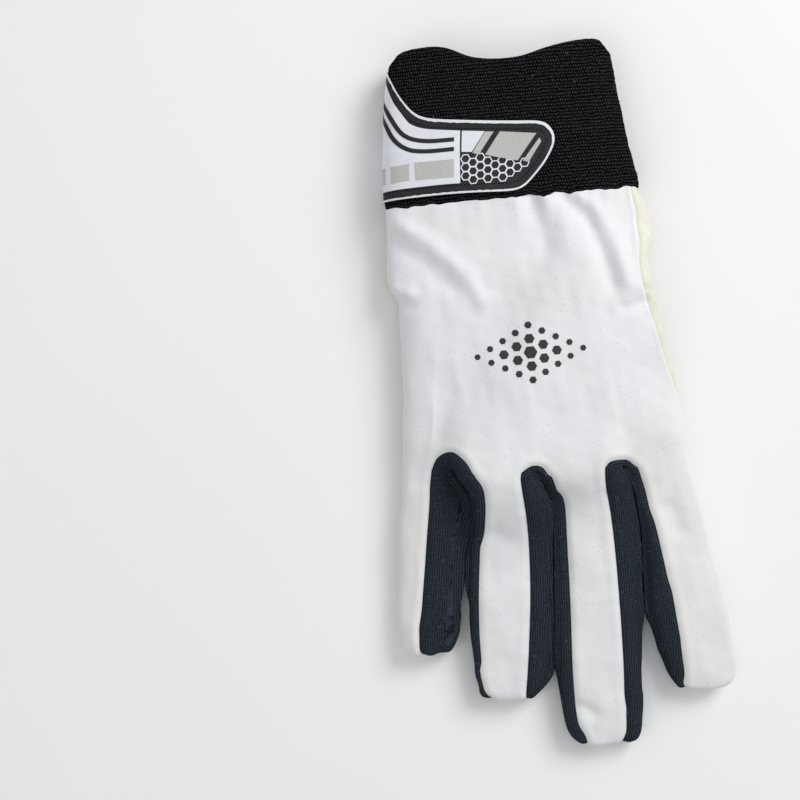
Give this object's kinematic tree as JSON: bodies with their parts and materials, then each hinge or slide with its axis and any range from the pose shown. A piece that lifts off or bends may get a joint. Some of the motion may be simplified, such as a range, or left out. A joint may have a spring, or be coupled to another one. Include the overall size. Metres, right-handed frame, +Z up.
{
  "type": "wicketkeeping inner glove",
  "caption": "Right-hand wicketkeeping inner glove: white stretch back, cream chamois palm, black knit finger sides, ribbed black cuff and a moulded badge wrapped round the wrist.",
  "frame": {"origin": "centre of the overall box in plan, at the ground the glove lies on", "axes": "+Z up out of the back of the hand, -Y towards the fingertips, +Y towards the cuff, +X towards the index finger and thumb side"},
  "size_m": [0.12, 0.2564, 0.024],
  "materials": {
    "back_cloth": "smooth stretch cloth",
    "chamois": "suede",
    "side_knit": "fine rib knit",
    "cuff_knit": "crepe knit",
    "badge_black": "satin",
    "badge_white": "satin"
  },
  "bodies": {
    "root": {"back_panel": "back_cloth", "palm_panel": "chamois", "side_little_ring": "side_knit", "side_ring_middle": "side_knit", "side_middle_index": "side_knit", "thumb": "chamois", "cuff": "cuff_knit", "badge": "badge_black", "badge_rim": "badge_white", "badge_panel": "badge_white"}
  },
  "joints": []
}
